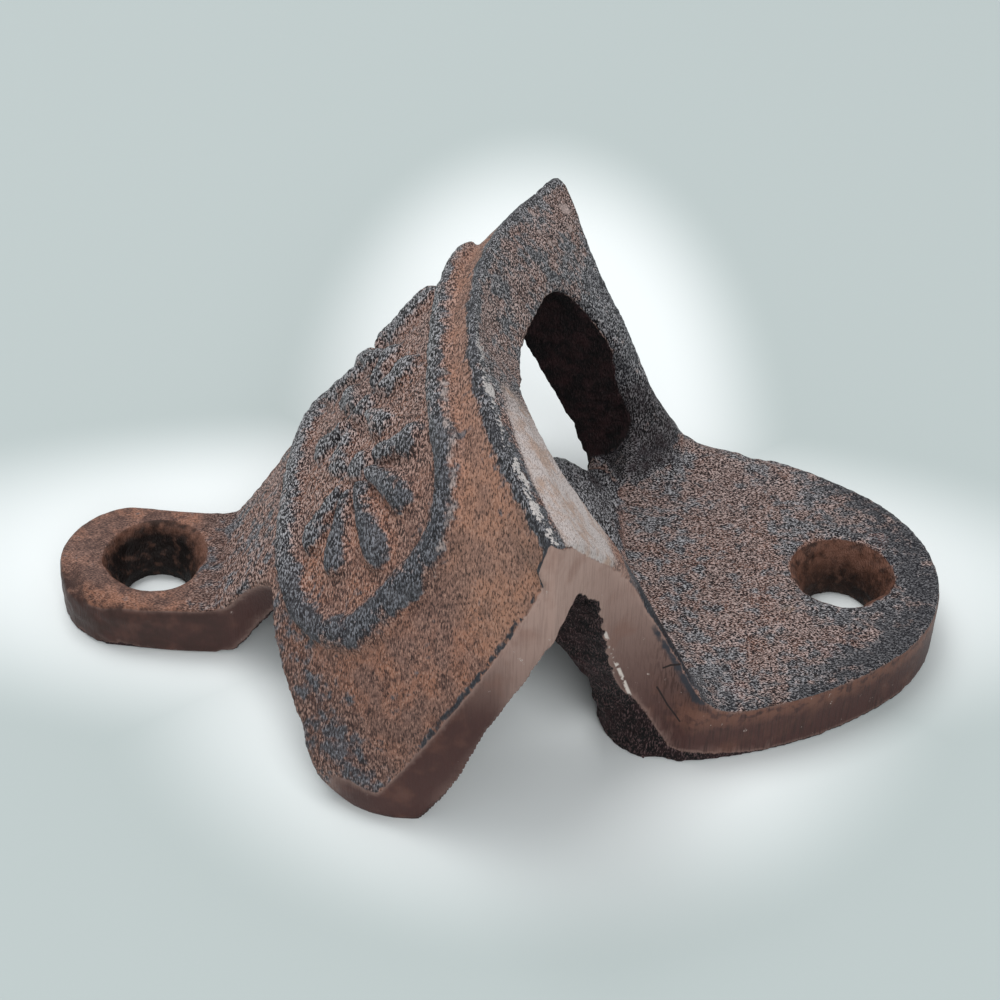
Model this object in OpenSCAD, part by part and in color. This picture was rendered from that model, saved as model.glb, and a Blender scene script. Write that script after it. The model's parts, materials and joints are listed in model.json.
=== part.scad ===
// Wall-mounted bottle opener: one iron casting with a screw ear, a curved hood,
// two legs around a bottle opening, a lifting tongue and a screw plate.
// The wall face lies on z = 0, +Z points away from the wall, and +X runs from the
// ear to the plate. The origin is midway between the two screw holes.

/* [Screw holes] */
// Distance between the two screw holes
hole_spacing = 64; // [58:0.5:72]
// Diameter of the straight hole for the screw shank
hole_d = 5.4; // [3:0.1:7]
// Diameter of the countersink at the face
sink_d = 9.7; // [7.5:0.1:11.5]
// Height of the straight hole under the countersink
hole_land = 1.8; // [0.8:0.1:3.5]

/* [Ear] */
// Width of the ear
ear_w = 14.5; // [13:0.1:18]
// Thickness of the ear
ear_thick = 5.3; // [4:0.1:7]
// Distance from the hole to the round end of the ear
ear_reach = 8.9; // [7:0.1:11]
// How far the radius of the ear's round end is over half its width
ear_end_spare = 0.3; // [0.1:0.1:3]

/* [Plate] */
// Thickness of the plate
plate_thick = 5.6; // [4:0.1:7]
// Distance from the hole to the round end of the plate
plate_reach = 8.9; // [7:0.1:12]
// Distance from the hole back to the plate's edge under the hood
plate_back = 22.7; // [20:0.1:25]
// Radius of the plate's round end
plate_tip_r = 15; // [13:0.1:17]
// Radius of the plate's flanks
plate_flank_r = 35.5; // [30:0.5:45]
// Angle on the round end at which the flanks begin
plate_flank_angle = 49; // [44:0.5:54]
// Radius of the plate's corners under the hood
plate_heel_r = 6; // [2:0.1:8]

/* [Hood] */
// Width of the hood
hood_w = 55; // [50:0.5:60]
// Distance from the ear's hole to the bend where the hood begins
hood_bend = 6.4; // [5:0.1:8]
// Thickness of the hood at its middle
hood_thick = 3.2; // [2.4:0.1:4]
// How far the hood's sides curl towards the wall at the ear end
curl_ear = 15; // [13:0.1:17]
// How far the hood's sides curl towards the wall at the ridge
curl_ridge = 9.5; // [8:0.1:11]
// Distance up the hood from the bend to its lower edge beside the neck
skirt_inner = 9.3; // [8.5:0.1:11]
// Distance up the hood from the bend to its lower edge at the lobes
skirt_outer = 5.6; // [4.6:0.1:7]
// Radius of the lobes' corners
lobe_r = 3.4; // [2:0.1:5]
// Radius of the neck's fillets
neck_r = 8; // [4:0.1:8.4]

/* [Ridge] */
// Place of the ridge's middle along the opener, from the origin
ridge_x = -2.4; // [-5:0.1:0]
// Height of the ridge's middle above the wall
ridge_height = 33.7; // [30:0.1:38]
// How far the ridge's ends lie towards the plate from its middle
ridge_sweep = 6.8; // [4:0.1:9]
// How far the ridge's ends lie below its middle
ridge_fall = 3.2; // [1:0.1:5]
// Width of the ridge's rounded nose in the middle
nose_mid = 1.4; // [1:0.1:3]
// Width of the ridge's rounded nose over the legs
nose_side = 3.4; // [2.4:0.1:4.5]
// Fall of the ridge's rounded nose
nose_fall = 2.6; // [1.6:0.1:3.6]

/* [Legs] */
// Distance from the plate's hole back to the middle of the legs' front face at the plate
leg_front = 16; // [14:0.1:18]
// How far the ends of the legs' front face lie ahead of its middle, over the hood's width
leg_front_sweep = 5.6; // [4:0.1:8]
// How far the legs' front face bulges between the ridge and the plate
leg_bulge = 1; // [0:0.1:2]
// Distance from the legs' front face to the hollow at the wall, in the middle
leg_depth = 5; // [4:0.1:7]
// How far the ends of the hollow's front face lie ahead of its middle
leg_back_sweep = 7.7; // [6.5:0.1:9]
// Width of the straight middle of the hollow's front face
leg_back_flat = 33; // [28:0.5:35]
// Width over which the hollow's front face sweeps forward
leg_back_w = 43; // [40:0.5:48]
// Angle of the hollow's front face from the wall
leg_back_angle = 62; // [60:0.5:66]
// Distance from the hollow's sharp top down each face to its blunt top
hollow_blunt = 4; // [1:0.1:6]
// Radius of the fillet between the legs and the plate
leg_fillet = 3; // [1:0.1:5]
// Width across the legs at their waist
waist_w = 35.4; // [33:0.1:38]
// Distance from the plate's hole back to the waist
waist_back = 17.7; // [16:0.1:19]
// Radius of the waist
waist_r = 6; // [5:0.1:7]
// How far the legs' sides flare out from the waist down to the wall
waist_flare = 1.7; // [0.5:0.1:2.5]
// Height from the wall to the end of the flare
flare_height = 12; // [9:0.5:15]

/* [Bottle opening] */
// Width of the opening between the legs
window_w = 31; // [28:0.1:32]
// Height of the opening's top above the wall
window_top = 27.6; // [25:0.1:29]
// Radius of the opening's upper corners
window_r = 5; // [2:0.1:8]
// Height of the webs between the legs and the plate, above the plate
web_height = 7.2; // [3:0.1:9]
// Distance from the plate's hole back to the webs' tops
web_back = 19.8; // [18:0.1:21]
// How far the webs reach in from the legs over the plate
web_reach = 7; // [3:0.1:10]

/* [Tongue] */
// Height of the tongue's middle above the wall
tongue_height = 13.4; // [9:0.1:16]
// Width of the tongue's root on the plate
tongue_w = 28.6; // [22:0.1:29.4]
// Radius of the tongue's root, seen from above
tongue_root_r = 31.5; // [24:0.5:40]
// Distance from the plate's hole back to the middle of the tongue's root
tongue_back = 19.7; // [18:0.1:21.5]
// Angle of the tongue from the wall
tongue_angle = 48; // [42:0.5:60]
// Depth of the tongue's underside below the plate's top, at the plate's edge
tongue_sink = 1.4; // [0.4:0.1:3]

/* [Ornament] */
// Height of the cast ornament above the hood's face
relief_height = 1; // [0.5:0.1:1.5]
// Width of the bead that frames the ornament
bead_w = 2.8; // [1.8:0.1:3.2]
// Distance from the hood's side to the middle of the bead
bead_side = 7.1; // [5.5:0.1:8.5]
// Distance from the ridge down the hood to the middle of the bead
bead_ridge = 4.3; // [3.4:0.1:5.5]
// Distance from the hood's lower edge beside the neck up to the middle of the bead
bead_skirt = 2.1; // [1.6:0.1:3.5]
// Radius of the bead's corners
bead_r = 7; // [4:0.1:9]
// Number of petals of the rosette
petals = 6; // [4:1:8]
// Distance from the rosette's middle to the middle of its petals' tips
petal_reach = 5.6; // [4.5:0.1:6]
// Width of a petal at its tip
petal_w = 3.4; // [1.8:0.1:3.6]
// Number of flutes of each palmette
flutes = 5; // [3:2:7]
// Angle between two flutes
flute_angle = 34; // [31:0.5:38]
// Length of a palmette across the hood, to the middle of its flutes' tips
flute_across = 8.8; // [7:0.1:9.4]
// Length of a palmette up and down the hood, to the middle of its flutes' tips
flute_up = 7; // [6:0.1:7.6]
// Width of a flute at its tip
flute_w = 3.4; // [1.8:0.1:3.6]
// Distance from the rosette's middle to the palmettes' knobs
palmette_out = 7.8; // [7.4:0.1:9]
// Diameter of the rosette's and the palmettes' knobs
knob_d = 3.2; // [1.6:0.1:3.4]

/* [Hidden] */
$fn = 96;

// Cuts run this far past the faces that they go through
past = 1;
// Room around the casting for the blocks that trim it
far = 80;
// Stations across the hood, from one side to the other
stations = 24;
// A loft that cuts runs past both sides of the hood by this factor
overlap = 1.04;
// Shares of a face's length at which its sections have points
section_shares = [0.2, 0.4, 0.6, 0.8];
// Share of the hood's length from which the hollow's faces are straight
hollow_share = 0.6;
// The curl grows with this power of the distance from the hood's middle
curl_power = 3;
// Steps along the fillet between the legs and the plate
fillet_steps = 5;
// The legs' ground sides begin this far in front of the ridge's corners
corner_land = 0.4;
// The bottle opening stops this far under the hood's inner face
window_step = 0.3;
// Where on the waist's arc the straight cut from the hood's corner ends
bite_angle = 30;
// The ornament begins this far under the hood's face
relief_sink = 0.5;
// Width of a stroke's or knob's top, as a share of its foot's
stroke_top = 0.6;
// Width of a petal or flute where it begins
stroke_start = 1.4;
// A petal or flute begins this far from the middle that it points away from
stroke_gap = 2.8;
// Shares of a stroke's half width that its round end runs on, how wide it is there and how high
stroke_end = [[0, 1, 1], [0.6, 0.75, 0.9], [0.95, 0.3, 0.4]];
// Steps round each corner of the bead, and the length of a step along its straight sides
bead_steps = 4;
bead_pitch = 5;

ear_x = -hole_spacing / 2;
plate_x = hole_spacing / 2;
hood_half = hood_w / 2;

// The hood's middle line runs from the bend on the ear up to the ridge
bend = [ear_x + hood_bend, ear_thick];
hood_rise = [ridge_x, ridge_height] - bend;
hood_len = norm(hood_rise);
hood_angle = atan2(hood_rise[1], hood_rise[0]);
hood_dir = hood_rise / hood_len;
hood_out = [-hood_dir[1], hood_dir[0]];

// Places along the opener
plate_inner_x = plate_x - plate_back;
leg_front_x = plate_x - leg_front;
leg_back_x = leg_front_x - leg_depth;
waist_x = plate_x - waist_back;
tongue_x = plate_x - tongue_back;
// Middle of the ornament up the hood, and from there to the middles of the bead's corners
bead_low = skirt_inner + bead_skirt;
bead_high = hood_len - bead_ridge;
ornament_up = (bead_low + bead_high) / 2;
ornament_half = (bead_high - bead_low) / 2 - bead_r;
// The ear runs on into the hood by this much
ear_overlap = curl(0, ear_w / hood_w) / sin(hood_angle);
// The hood's faces begin this far down the middle line, a little below the wall face
hood_foot = -(ear_thick + past) / hood_dir[1];

// A point of the hood "up" along its middle line from the bend and "under" its outer face,
// at the share "side" of the half width
function curl(up, side) =
    (curl_ear + (curl_ridge - curl_ear) * pow(up / hood_len, 2)) * pow(abs(side), curl_power);
function hood_point(up, side, under = 0) =
    bend + hood_dir * up - hood_out * (curl(up, side) + under);

// A smooth rise from 0 to 1 as the share goes from 0 to 1
function ease(share) = (1 - cos(180 * max(0, min(1, share)))) / 2;

// The ridge, and the front and back of the legs, all swept towards the plate at their ends
function ridge_point(side) =
    [ridge_x + ridge_sweep * side * side, ridge_height - ridge_fall * side * side];
function nose_run(side) =
    nose_mid + (nose_side - nose_mid) * ease(abs(side) * hood_w / window_w);
function front_foot(side) = [leg_front_x + leg_front_sweep * side * side, plate_thick];
function back_foot(side) =
    let (share = (abs(side) * hood_w - leg_back_flat) / (leg_back_w - leg_back_flat))
    [leg_back_x + leg_back_sweep * ease(share), 0];
back_dir = [-cos(leg_back_angle), sin(leg_back_angle)];

// Where the line from a along u meets the line from b along v
function cross2(u, v) = u[0] * v[1] - u[1] * v[0];
function meet(a, u, b, v) = a + u * (cross2(b - a, v) / cross2(u, v));

// Outer section: up the hood, over the ridge's nose and down the legs to the plate
function outer_section(side) =
    let (
        ridge = ridge_point(side),
        nose = ridge + [nose_run(side), -nose_fall],
        foot = front_foot(side),
        fall = (foot - nose) / norm(foot - nose),
        swell = [-fall[1], fall[0]] * leg_bulge,
        low = hood_point(hood_foot, side)
    )
    [
        [low[0], -far],
        low,
        each [for (share = section_shares) hood_point(hood_len * share, side)],
        ridge,
        nose,
        each [for (share = section_shares)
            nose + (foot - nose) * share + swell * sin(180 * share)],
        each [for (share = [0 : 1 / fillet_steps : 1])
            foot + (fall * -pow(1 - share, 2) + [pow(share, 2), 0]) * leg_fillet],
        foot + [leg_fillet, -far]
    ];

// A face "under" the hood's outer face, from far below the wall up to the share "top" of its length
function hood_inside(side, top, under) =
    let (low = hood_point(hood_foot, side, under))
    [
        low - hood_dir * far,
        low,
        each [for (share = section_shares)
            if (share < top) hood_point(hood_len * share, side, under)],
        hood_point(hood_len * top, side, under)
    ];

// Inner section: the hollow under the hood and behind the legs
function inner_section(side) =
    let (
        high = hood_point(hood_len, side, hood_thick),
        near = hood_point(hood_len * hollow_share, side, hood_thick),
        apex = meet(near, high - near, back_foot(side), back_dir)
    )
    concat(
        hood_inside(side, hollow_share, hood_thick),
        [
            apex - (high - near) / norm(high - near) * hollow_blunt,
            apex - back_dir * hollow_blunt,
            back_foot(side) - back_dir * far
        ]
    );

// Section of what the bottle opening may cut: all that lies under the hood
function under_hood_section(side) =
    let (top = hood_point(hood_len, side, hood_thick + window_step))
    concat(
        hood_inside(side, 1, hood_thick + window_step),
        [top + [far, 0], top + [far, -far]]
    );

// A solid through rows of points, closed into a ring or capped at both ends
module skin(rows, ring = false) {
    count = len(rows[0]);
    last = len(rows) - 1;
    sides = [
        for (i = [0 : ring ? last : last - 1], j = [0 : count - 1])
            let (
                next = (i + 1) % (last + 1),
                a = i * count + j,
                b = i * count + (j + 1) % count,
                c = next * count + j,
                d = next * count + (j + 1) % count
            )
            each [[a, d, b], [a, c, d]]
    ];
    caps = [
        [for (j = [0 : count - 1]) j],
        [for (j = [count - 1 : -1 : 0]) last * count + j]
    ];
    polyhedron([for (row = rows) each row], concat(sides, ring ? [] : caps), convexity = 6);
}

// A solid through the sections of all stations, "reach" to each side
module loft(sections, reach) {
    last = len(sections) - 1;
    skin([
        for (i = [0 : last])
            [for (p = sections[i]) [p[0], reach * (2 * i / last - 1), p[1]]]
    ]);
}

// Shares of the half width at the stations, from one side to the other
function shares(reach) = [for (i = [0 : stations]) reach * (2 * i / stations - 1)];

// The tent of hood and legs, open at both sides
module tent() {
    difference() {
        loft([for (side = shares(1)) outer_section(side)], hood_half);
        loft([for (side = shares(overlap)) inner_section(side)], hood_half * overlap);
    }
}

// The children and their mirror image across the opener
module both_sides() {
    children();
    mirror([0, 1, 0])
        children();
}

// Outline of the hood, drawn flat with x up the hood from the bend and y across it
module hood_outline() {
    top = hood_len + far;
    edge = hood_half - lobe_r;
    both_sides() {
        polygon([
            [skirt_inner, 0],
            [skirt_inner, ear_w / 2],
            [skirt_outer, edge],
            [skirt_outer + lobe_r, hood_half],
            [top, hood_half],
            [top, 0]
        ]);
        translate([skirt_outer + lobe_r, edge])
            circle(lobe_r);
        difference() {
            translate([skirt_inner - neck_r, 0])
                square([neck_r + past, ear_w / 2 + neck_r]);
            translate([skirt_inner - neck_r, ear_w / 2 + neck_r])
                circle(neck_r);
        }
    }
    translate([-far, -ear_w / 2])
        square([far + skirt_inner + past, ear_w]);
}

// Block that keeps what lies inside the hood's outline
module hood_trim() {
    translate([bend[0], 0, bend[1]])
        rotate([0, -hood_angle, 0])
            translate([0, 0, -far])
                linear_extrude(2 * far)
                    hood_outline();
}

// Bites that cut the legs' ground sides in from the hood's corners to the waist
module waist_bites() {
    corner_x = ridge_point(1)[0] + corner_land;
    side_y = waist_w / 2 + waist_r;
    both_sides() {
        translate([waist_x, side_y, 0]) {
            cylinder(h = flare_height, r1 = waist_r - waist_flare, r2 = waist_r);
            translate([0, 0, flare_height])
                cylinder(h = far, r = waist_r);
        }
        linear_extrude(far)
            polygon([
                [corner_x, hood_half],
                [waist_x - waist_r * cos(bite_angle), side_y - waist_r * sin(bite_angle)],
                [waist_x, side_y],
                [waist_x + waist_r, side_y],
                [waist_x + waist_r, hood_half + past],
                [corner_x, hood_half + past]
            ]);
    }
}

// Block that keeps what lies inside the ear's round end and the plate's outline, seen from above
module plan_trim() {
    end_r = ear_w / 2 + ear_end_spare;
    end_x = ear_x - ear_reach + end_r;
    translate([end_x, 0, 0])
        cylinder(h = far, r = end_r);
    translate([end_x, -far, 0])
        cube([waist_x - end_x, 2 * far, far]);
    linear_extrude(far)
        plate_outline();
}

// The bottle opening, cut through the legs' wall along x but not into the hood
module window() {
    half = window_w / 2 - window_r;
    intersection() {
        rotate([90, 0, 90])
            linear_extrude(2 * far, center = true) {
                translate([-window_w / 2, plate_thick])
                    square([window_w, window_top - window_r - plate_thick]);
                translate([-half, plate_thick])
                    square([2 * half, window_top - plate_thick]);
                for (side = [-1, 1])
                    translate([side * half, window_top - window_r])
                        circle(window_r);
            }
        loft([for (side = shares(1)) under_hood_section(side)], hood_half);
    }
}

// Webs in the corners between the plate and the inner sides of the legs
module webs() {
    wall_y = window_w / 2 + past;
    top_x = plate_x - web_back;
    front_x = leg_front_x + leg_fillet;
    both_sides()
        polyhedron(
            [
                [plate_inner_x, wall_y, plate_thick - past],
                [front_x, wall_y, plate_thick - past],
                [top_x, window_w / 2 - web_reach, plate_thick - past],
                [top_x, wall_y, plate_thick + web_height]
            ],
            [[0, 2, 1], [0, 3, 2], [2, 3, 1], [1, 3, 0]]
        );
}

// Outline of the plate: a round end that runs into two long flank arcs
module plate_outline() {
    tip_x = plate_x + plate_reach - plate_tip_r;
    offset_r = plate_flank_r - plate_tip_r;
    flank = [
        tip_x - offset_r * cos(plate_flank_angle),
        offset_r * sin(plate_flank_angle)
    ];
    split_x = tip_x + plate_tip_r * cos(plate_flank_angle);
    heel_x = plate_inner_x + plate_heel_r;
    heel_y = sqrt(pow(plate_flank_r, 2) - pow(heel_x - flank[0], 2)) - flank[1] - plate_heel_r;
    intersection() {
        translate([flank[0], -flank[1]])
            circle(plate_flank_r);
        translate([flank[0], flank[1]])
            circle(plate_flank_r);
        union() {
            translate([heel_x, -far])
                square([split_x - heel_x, 2 * far]);
            translate([plate_inner_x, -heel_y])
                square([plate_heel_r, 2 * heel_y]);
            for (side = [-1, 1])
                translate([heel_x, side * heel_y])
                    circle(plate_heel_r);
        }
    }
    intersection() {
        translate([tip_x, 0])
            circle(plate_tip_r);
        translate([split_x, -far])
            square(2 * far);
    }
}

// Tongue that rises from the plate into the hollow and lifts the cap
module tongue() {
    run = 1 / tan(tongue_angle);
    rise = tongue_height - plate_thick;
    arch_r = (tongue_w * tongue_w / 4 + rise * rise) / (2 * rise);
    under_z = plate_thick - tongue_sink;
    intersection() {
        translate([tongue_x - tongue_root_r, 0, 0])
            cylinder(
                h = tongue_height,
                r1 = tongue_root_r + plate_thick * run,
                r2 = tongue_root_r - rise * run
            );
        translate([0, 0, tongue_height - arch_r])
            rotate([0, 90, 0])
                cylinder(h = 2 * plate_x, r = arch_r, center = true);
        translate([0, tongue_w / 2, 0])
            rotate([90, 0, 0])
                linear_extrude(tongue_w)
                    polygon([
                        [plate_inner_x, 0],
                        [plate_inner_x, under_z],
                        [plate_inner_x - (tongue_height - under_z) * run, tongue_height],
                        [plate_x, tongue_height],
                        [plate_x, 0]
                    ]);
    }
}

// A point "over" the hood's outer face, at a place [across, up from the bend]
function on_hood(place, over) =
    let (p = hood_point(place[1], place[0] / hood_half, -over))
    [p[0], place[0], p[1]];

// Section of a raised stroke: its place, the way it runs, its half width and its height
function stroke_row(place, way, half, height) =
    let (left = [way[1], -way[0]] * half)
    [
        on_hood(place + left, -relief_sink),
        on_hood(place + left * stroke_top, height),
        on_hood(place - left * stroke_top, height),
        on_hood(place - left, -relief_sink)
    ];

// Knob of the rosette or of a palmette
module knob(place) {
    translate(on_hood(place, -relief_sink))
        rotate([0, -hood_angle, 0])
            cylinder(h = relief_sink + relief_height, d1 = knob_d, d2 = knob_d * stroke_top);
}

// Petal or flute that points away from a middle and widens to a round end
module petal(middle, angle, reach, width) {
    way = [cos(angle), sin(angle)];
    skin(concat(
        [stroke_row(middle + way * stroke_gap, way, stroke_start / 2, relief_height)],
        [for (end = stroke_end)
            stroke_row(
                middle + way * (reach + end[0] * width / 2),
                way,
                end[1] * width / 2,
                end[2] * relief_height
            )]
    ));
}

// Bead round the ornament, counted by its corners, each with the straight side after it
module bead() {
    half = hood_half - bead_side - bead_r;
    rows = [
        for (corner = [0 : 3])
            let (
                turn = 90 * corner,
                middle = [
                    half * sign(cos(turn + 45)),
                    ornament_up + ornament_half * sign(sin(turn + 45))
                ],
                side = 2 * (corner % 2 == 0 ? half : ornament_half),
                side_steps = ceil(side / bead_pitch),
                side_start = middle + bead_r * [cos(turn + 90), sin(turn + 90)],
                way = [-sin(turn + 90), cos(turn + 90)]
            )
            each concat(
                [for (i = [0 : bead_steps])
                    let (angle = turn + 90 * i / bead_steps)
                    [middle + bead_r * [cos(angle), sin(angle)], [-sin(angle), cos(angle)]]],
                [for (i = [1 : 1 : side_steps - 1])
                    [side_start + way * side * i / side_steps, way]]
            )
    ];
    skin([for (row = rows) stroke_row(row[0], row[1], bead_w / 2, relief_height)], ring = true);
}

// The ornament cast on the hood: a rosette between two palmettes, framed by the bead
module ornament() {
    bead();
    knob([0, ornament_up]);
    for (i = [0 : petals - 1])
        petal([0, ornament_up], 90 + 360 * i / petals, petal_reach, petal_w);
    for (side = [-1, 1]) {
        middle = [side * palmette_out, ornament_up];
        knob(middle);
        for (i = [0 : flutes - 1])
            let (
                turn = flute_angle * (i - (flutes - 1) / 2),
                reach = 1 / norm([cos(turn) / flute_across, sin(turn) / flute_up])
            )
            petal(middle, 90 - side * (90 - turn), reach, flute_w);
    }
}

// Slab of the screw ear, before its sides and its round end are trimmed
module ear() {
    end_x = ear_x - ear_reach - past;
    translate([end_x, -ear_w / 2 - past, -past])
        cube([bend[0] + ear_overlap - end_x, ear_w + 2 * past, ear_thick + past]);
}

// Countersunk screw hole down through a slab
module screw_hole(thick) {
    translate([0, 0, -past])
        cylinder(h = thick + 2 * past, d = hole_d);
    translate([0, 0, hole_land])
        cylinder(h = thick - hole_land, d1 = hole_d, d2 = sink_d);
    translate([0, 0, thick])
        cylinder(h = past, d = sink_d);
}

// The whole casting
module opener_casting() {
    color("saddlebrown")
        difference() {
            union() {
                difference() {
                    intersection() {
                        union() {
                            tent();
                            ear();
                        }
                        hood_trim();
                        plan_trim();
                    }
                    window();
                    waist_bites();
                }
                difference() {
                    linear_extrude(plate_thick)
                        plate_outline();
                    waist_bites();
                }
                webs();
                tongue();
                ornament();
            }
            translate([ear_x, 0, 0])
                screw_hole(ear_thick);
            translate([plate_x, 0, 0])
                screw_hole(plate_thick);
        }
}

opener_casting();
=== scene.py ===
import json
import math

import bpy
import numpy as np
from mathutils import Matrix, Vector, noise


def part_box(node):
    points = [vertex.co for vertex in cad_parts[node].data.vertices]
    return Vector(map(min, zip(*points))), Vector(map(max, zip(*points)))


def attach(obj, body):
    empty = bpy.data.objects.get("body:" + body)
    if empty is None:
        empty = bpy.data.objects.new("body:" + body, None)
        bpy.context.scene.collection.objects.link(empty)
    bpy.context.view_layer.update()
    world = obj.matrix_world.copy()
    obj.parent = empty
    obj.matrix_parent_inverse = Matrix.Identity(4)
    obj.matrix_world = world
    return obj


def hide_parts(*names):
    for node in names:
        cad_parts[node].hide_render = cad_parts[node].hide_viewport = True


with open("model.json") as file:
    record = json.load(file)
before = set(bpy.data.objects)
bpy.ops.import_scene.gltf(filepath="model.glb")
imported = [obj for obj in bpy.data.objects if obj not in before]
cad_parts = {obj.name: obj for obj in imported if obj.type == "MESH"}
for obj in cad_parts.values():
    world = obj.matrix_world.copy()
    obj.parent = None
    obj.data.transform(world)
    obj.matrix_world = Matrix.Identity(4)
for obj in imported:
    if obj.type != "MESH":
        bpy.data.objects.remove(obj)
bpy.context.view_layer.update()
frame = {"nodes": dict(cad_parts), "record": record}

# The casting: the whole opener, poured in one piece of grey iron in a sand mould.
# Its pebbled skin is stained rust-brown and rubbed dark on the high points, its sides
# are ground flat, and the hood carries a shallow cast ornament.
mm = 0.001
solid = frame["nodes"]["opener_casting"]
solid_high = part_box("opener_casting")[1]
skin_cell = 0.26 * mm
skin_triangles = 194000

screws = next(m for m in frame["record"]["mounts"] if m["name"] == "wall_screws")
hole_x = screws["dims"]["spacing_x_mm"] / 2 * mm
sink_r = 4.85 * mm
ear_thick = 5.3 * mm
plate_thick = 5.6 * mm

hood_half = solid_high.y
hood_bend = np.array([-hole_x + 6.4 * mm, ear_thick])
hood_curl = (15 * mm, 9.5 * mm)
ridge_mid = np.array([-2.4 * mm, solid_high.z])
ridge_sweep = 6.8 * mm
ridge_fall = 3.2 * mm
nose_runs = (1.4 * mm, 3.4 * mm)
nose_fall = 2.6 * mm
window_half = 15.5 * mm
leg_front = hole_x - 16 * mm
leg_front_sweep = 5.6 * mm
leg_bulge = 1 * mm
tongue_x = hole_x - 19.7 * mm
tongue_half = 14.3 * mm
tongue_top = 13.4 * mm


def rise(values, low, high):
    """A smooth step from 0 at low to 1 at high."""
    share = np.clip((values - low) / (high - low), 0, 1)
    return share * share * (3 - 2 * share)


def over(lengths, start, full):
    """A share that rises from 0 at start to 1 at full, both in millimetres."""
    return rise(lengths, start * mm, full * mm)


def under(lengths, full, end):
    """A share that falls from 1 at full to 0 at end, both in millimetres."""
    return rise(-lengths, -end * mm, -full * mm)


def within(lengths, start, full, fade, end):
    """A share that is 1 from full to fade and 0 outside start and end, all in millimetres."""
    return over(lengths, start, full) * under(lengths, fade, end)


def read(items, field, width):
    """One field of all a mesh's items, as a table."""
    table = np.empty(len(items) * width, np.int32 if field == "vertices" else np.float32)
    items.foreach_get(field, table)
    return table.reshape(-1, width)


def applied(mesh, kind, settings):
    """The mesh after one modifier."""
    holder = bpy.data.objects.new("casting_blank", mesh)
    bpy.context.scene.collection.objects.link(holder)
    modifier = holder.modifiers.new("casting_step", kind)
    for name, value in settings.items():
        setattr(modifier, name, value)
    made = bpy.data.meshes.new_from_object(holder.evaluated_get(bpy.context.evaluated_depsgraph_get()))
    bpy.data.objects.remove(holder)
    return made


# The print of the mould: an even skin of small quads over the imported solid
skin = applied(solid.data.copy(), "REMESH", {"mode": "VOXEL", "voxel_size": skin_cell})
points = read(skin.vertices, "co", 3).astype(float)
first, second = read(skin.edges, "vertices", 2).T
links = np.bincount(first, minlength=len(points)) + np.bincount(second, minlength=len(points))


def around(values):
    """The mean of each point's neighbours."""
    columns = []
    for column in values.reshape(len(points), -1).T:
        total = np.bincount(first, column[second], len(points))
        total += np.bincount(second, column[first], len(points))
        columns.append(total / links)
    return np.stack(columns, 1).reshape(values.shape)


def evened(values, passes, share=0.5):
    """Values drawn towards their neighbours, so that edges soften."""
    for _ in range(passes):
        values = values + share * (around(values) - values)
    return values


def placed():
    """Puts the points into the skin."""
    skin.vertices.foreach_set("co", points.astype(np.float32).ravel())


def grain(size, shift=0):
    """Smooth noise from about -1 to 1 at each point, with lumps of about the given size."""
    offset = Vector((shift, 0, 0))
    return np.array([noise.noise(Vector(p) / size + offset) for p in points])


def from_hole():
    """How far each point is from the axis of the nearer screw hole."""
    px, py = points[:, :2].T
    return np.minimum(np.hypot(px + hole_x, py), np.hypot(px - hole_x, py))


# Edges: the sand leaves them a little round, and rounder at the ear, sinks, lobes, webs and far foot
x, y, z = points.T
ear_zone = under(x, -27, -25) * over(z, 0.5, 2.5)
sinks = under(from_hole() - sink_r, 0.5, 1.5) * over(z, 2.5, 3.5)
lobe_tips = over(np.abs(y), 24.5, 26.5) * under(z, 4, 8) * under(x, -6, -2)
webs = within(x, 5, 8, 18, 22) * within(np.abs(y), 5, 9, 16.5, 19) * within(z, 4.4, 5.4, 15, 19)
far_foot = within(x, 11, 14, 23, 27) * over(y, 14, 17) * within(z, 4.8, 5.6, 11, 15)
swollen = over(np.abs(y), 21, 26) * under(z, 3, 12) * under(x, -2, 3)
points = evened(points, 4)
for zone, passes in ((np.maximum(ear_zone, sinks), 16), (lobe_tips, 24), (webs, 150), (far_foot, 300)):
    points = evened(points, passes, (0.5 * zone)[:, None])

# Wear and swelling: the bores are worn wide, the lobes, the far foot and the far corner are full,
# the neck is thicker below and leans to the near side, and the ear's near rim is worn down
bore_wear = 0.45 * mm
lobe_swell = 1.5 * mm
foot_fill = 0.6 * mm
neck_inward = 0.9 * mm
neck_down = 0.8 * mm
ear_lean = 0.7 * mm
corner_swell = 0.45 * mm
ear_worn = 1.1 * mm
for middle in (-hole_x, hole_x):
    from_axis = points[:, :2] - (middle, 0)
    bore_r = np.linalg.norm(from_axis, axis=1)
    wider = bore_wear * under(bore_r, 2.7, 4.6) / np.maximum(bore_r, mm)
    points[:, :2] += from_axis * wider[:, None]
placed()
facing = read(skin.vertices, "normal", 3)
points[:, [0, 2]] += facing[:, [0, 2]] * (lobe_swell * evened(swollen, 30))[:, None]
points += facing * (foot_fill * evened(far_foot, 10))[:, None]
x, y, z = points.T
neck_under = within(x, -30, -26, -19, -15) * under(np.abs(y), 10, 12)
neck_under = evened(neck_under * rise(-facing[:, 2], 0, 0.4) * over(z, 0.2, 1.2), 6)
points[:, 0] += neck_inward * neck_under
points[:, 2] -= neck_down * neck_under
points[:, 1] -= ear_lean * within(x, -38, -28, -24, -19)
ear_wear = over(np.hypot(x + hole_x, y), 6.4, 8.6) * under(x, -33, -29) * under(y, -4, 0)
far_corner = evened(over(y, 23.5, 27) * over(z, 26, 29), 10)
points[:, [0, 2]] += facing[:, [0, 2]] * (corner_swell * far_corner)[:, None]
points[:, 2] -= ear_worn * ear_wear * over(z, 2.6, 4.6)
points[:, 2] = np.maximum(points[:, 2], 0)

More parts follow.
